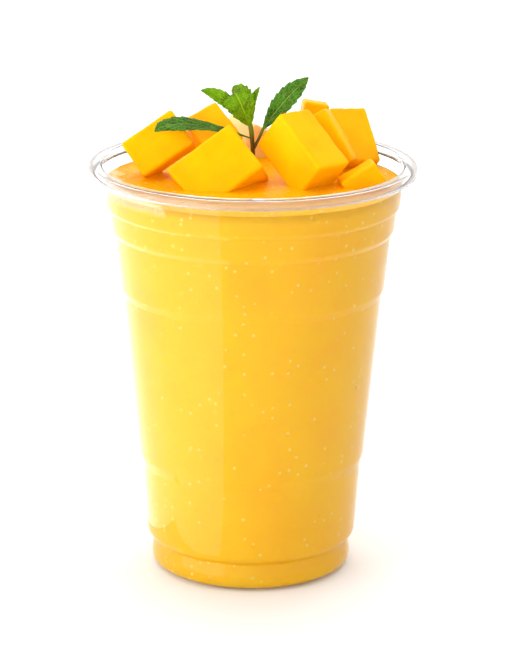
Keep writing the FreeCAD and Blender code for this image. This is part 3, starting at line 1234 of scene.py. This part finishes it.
# ------------------------------------------------------------------ studio
@dataclass
class Studio:
    """White table, soft light from the left and a long lens.

    Args:
        distance: from the camera to what it aims at, in metres.
        elevation: how far the camera looks down, in degrees.
        aim_height: height that it aims at, in metres.
        lens: its focal length, in mm.
        roll: how far it leans, in degrees.
        floor_tone: how pale the table is.
        card_turn: where the edge of the glowing card points, in degrees left of the camera.
        card_glow: its power, in watts on a square metre.
        front_tone: light of the room in front.
        back_tone: light of the room behind.
        top_tone: light of the room above.
        side_tone: light of the room at the sides.
    """

    distance: float = 0.8827
    elevation: float = 16.2
    aim_height: float = 0.0746
    lens: float = 161.98
    roll: float = 0.35
    floor_tone: float = 0.93
    card_turn: float = 24.0
    card_glow: float = 3.9
    front_tone: float = 0.12
    back_tone: float = 1.0
    top_tone: float = 0.55
    side_tone: float = 0.28

    def camera(self) -> None:
        """Place the camera."""
        data = bpy.data.cameras.new("camera")
        data.sensor_fit = "VERTICAL"
        data.sensor_height = 36.0
        data.lens = self.lens
        data.shift_x = 0.0015
        data.clip_start = 0.05
        camera = bpy.data.objects.new("camera", data)
        bpy.context.scene.collection.objects.link(camera)
        rise = math.radians(self.elevation)
        place = Vector((0, -self.distance * math.cos(rise), self.aim_height + self.distance * math.sin(rise)))
        look = (Vector((0, 0, self.aim_height)) - place).to_track_quat("-Z", "Y").to_matrix().to_4x4()
        lean = Matrix.Rotation(math.radians(self.roll), 4, "Z")
        camera.matrix_world = Matrix.Translation(place) @ look @ lean
        bpy.context.scene.camera = camera

    def panel(self, name: str, place: RGB, size: tuple[float, float], power: float,
              aim: RGB = (0, 0, 0.07)) -> bpy.types.Object:
        """Add a soft light.

        Args:
            name: its name.
            place: where it stands.
            size: width and height.
            power: power in watts.
            aim: what it faces.

        Returns:
            The light.
        """
        data = bpy.data.lights.new(name, "AREA")
        data.shape = "RECTANGLE"
        data.size, data.size_y = size
        data.energy = power
        light = bpy.data.objects.new(name, data)
        bpy.context.scene.collection.objects.link(light)
        turn = (Vector(aim) - Vector(place)).to_track_quat("-Z", "Y").to_matrix().to_4x4()
        light.matrix_world = Matrix.Translation(Vector(place)) @ turn
        return light

    def card(self, near: float, far: float, start: float, end: float) -> None:
        """Lay a glowing card on the table, left of the cup, whose straight edge the cup mirrors.

        Args:
            near: where it begins along its edge, from the cup.
            far: where it ends along its edge.
            start: where it begins across.
            end: where it ends across.
        """
        turn = math.radians(self.card_turn)
        out = Vector((-math.sin(turn), -math.cos(turn), 0.0))
        across = Vector((-math.cos(turn), math.sin(turn), 0.0))
        centre = out * ((near + far) / 2) + across * ((start + end) / 2)
        size = (end - start, far - near)
        place = (centre.x, centre.y, 0.001)
        light = self.panel("card", place, size, self.card_glow * size[0] * size[1])
        flat = Matrix((across.to_tuple(), out.to_tuple(), (0, 0, 1))).transposed().to_4x4()
        light.matrix_world = Matrix.Translation(place) @ flat @ Matrix.Rotation(math.pi, 4, "X")
        light.visible_camera = False

    def table(self) -> None:
        """Lay the pale table."""
        mesh = bmesh.new()
        bmesh.ops.create_grid(mesh, x_segments=8, y_segments=8, size=3.0)
        material, tree, shader = new_material("table")
        where = tree.add("TexCoord").outputs["Object"]
        tone = tree.add("TexNoise", Vector=where, Scale=3.0)
        grey, paler = (self.floor_tone,) * 3, (self.floor_tone + 0.02,) * 3
        tree.feed(shader.inputs["Base Color"], tree.blend(tone.outputs[0], grey, paler))
        shader.inputs["Roughness"].default_value = 0.9
        to_object(mesh, "table", [material])

    def room(self) -> bpy.types.World:
        """Light the room: bright behind the cup, soft above and at the sides.

        Returns:
            The world.
        """
        world = bpy.data.worlds.new("studio")
        world.use_nodes = True
        tree = NodeTree(world.node_tree)
        facing = tree.add("SeparateXYZ", Vector=tree.add("TexCoord").outputs["Generated"])
        behind = tree.spread(facing.outputs[1], -0.55, 0.25, self.front_tone, self.back_tone)
        over = tree.spread(facing.outputs[2], 0.35, 0.9, 0.0, self.top_tone)
        side = tree.spread(tree.math("ABSOLUTE", facing.outputs[0], 0.0), 0.55, 0.95, 0.0, self.side_tone)
        light = tree.math("MAXIMUM", behind, tree.math("MAXIMUM", over, side))
        background = world.node_tree.nodes["Background"]
        background.inputs[0].default_value = (1, 1, 1, 1)
        tree.feed(background.inputs[1], light)
        return world

    def build(self) -> None:
        """Set up the whole studio."""
        scene = bpy.context.scene
        scene.world = self.room()
        scene.view_settings.view_transform = "Standard"
        self.table()
        self.panel("key", (-1.05, -0.62, 0.45), (1.1, 1.2), 10.0)
        self.panel("right", (1.0, -0.35, 0.35), (0.6, 1.2), 2.0)
        self.panel("top", (0.0, -0.1, 1.2), (1.0, 1.0), 3.6)
        front = self.panel("front", (-0.1, -1.6, 0.3), (1.0, 1.0), 17.0)
        behind = self.panel("backdrop", (0.0, 1.9, 1.3), (3.0, 1.6), 42.0, (0.0, 1.9, 0.0))
        for unseen in (front, behind):
            unseen.visible_glossy = False
        self.card(0.045, 0.9, 0.0, 1.7)
        self.card(-0.6, 0.045, 0.05, 1.7)
        self.camera()


LEAVES = (
    Leaf("flat", (-0.5, 5.2, 11.7), (-18.7, -1.5, 17.3), (-29.0, -5.2, 15.9), half_width=4.1,
         looks=(-0.12, -0.33, 0.94), fold=3.0, spread_power=1.3, finish=LeafFinish.DARK),
    Leaf("middle", (-1.0, 4.9, 15.5), (-4.5, 4.6, 23.9), (-5.8, 10.0, 24.0), half_width=4.5,
         looks=(-0.10, -0.95, 0.30), fold=8.0, spread_power=0.75, finish=LeafFinish.YOUNG),
    Leaf("curled", (-1.4, 5.2, 16.6), (-8.9, 6.6, 23.2), (-15.7, 7.0, 25.8), half_width=2.3,
         looks=(-0.10, -0.70, 0.70), fold=10.0, spread_power=0.75, finish=LeafFinish.YOUNG),
    Leaf("narrow", (-0.8, 5.2, 15.8), (-0.3, 6.0, 22.0), (1.9, 7.0, 27.0), half_width=1.6,
         looks=(-0.70, -0.70, 0.10), fold=12.0, spread_power=0.75, finish=LeafFinish.YOUNG),
    Leaf("right", (2.5, 5.4, 13.8), (8.7, 5.0, 22.4), (16.3, 6.2, 30.1), half_width=3.4,
         looks=(-0.55, -0.80, 0.24), fold=8.0, spread_power=1.15, finish=LeafFinish.DARK),
)


def dress(piece: bpy.types.Object, slot: str, *nodes: str) -> None:
    """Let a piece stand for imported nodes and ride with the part.

    Args:
        piece: the piece.
        slot: its material slot in the record.
        nodes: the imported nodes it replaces.
    """
    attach(piece, "root")
    if nodes:
        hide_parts(*nodes)
    LOG.info("%s: %d faces, %s", piece.name, len(piece.data.polygons), slot)


def main() -> None:
    """Build the whole smoothie and its studio."""
    logging.basicConfig(level=logging.INFO, format="%(message)s")
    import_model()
    cup = Cup()
    nodes = sorted(thing.name for thing in bpy.data.objects if thing.name.startswith("mango_cube"))
    pale = MangoFlesh("pale mango flesh", light=(1.0, 0.76, 0.36), deep=(1.0, 0.66, 0.22),
                      fibre=(1.0, 0.9, 0.7), fibre_share=0.7)
    cut = MangoCubes(tuple(nodes), "mango_cube_pale_back").build(MangoFlesh(), pale)
    for piece in cut:
        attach(piece, "root")
        LOG.info("%s: %d faces", piece.name, len(piece.data.polygons))
    drink = Drink(cup)
    mint = Mint(drink.level, LEAVES).build(MintStem(), (
        MintLeaf("dark mint", (0.05, 0.19, 0.008), (0.26, 0.42, 0.06), (0.16, 0.28, 0.05)),
        MintLeaf("young mint", (0.16, 0.36, 0.001), (0.36, 0.56, 0.015), (0.28, 0.46, 0.02))))
    dress(mint, "mint", "mint_sprig")
    dress(drink.build(Puree(), [*cut, mint]), "smoothie", "smoothie")
    dress(cup.build(ClearPlastic()), "clear_plastic", "cup")
    Studio().build()


if __name__ == "__main__":
    main()
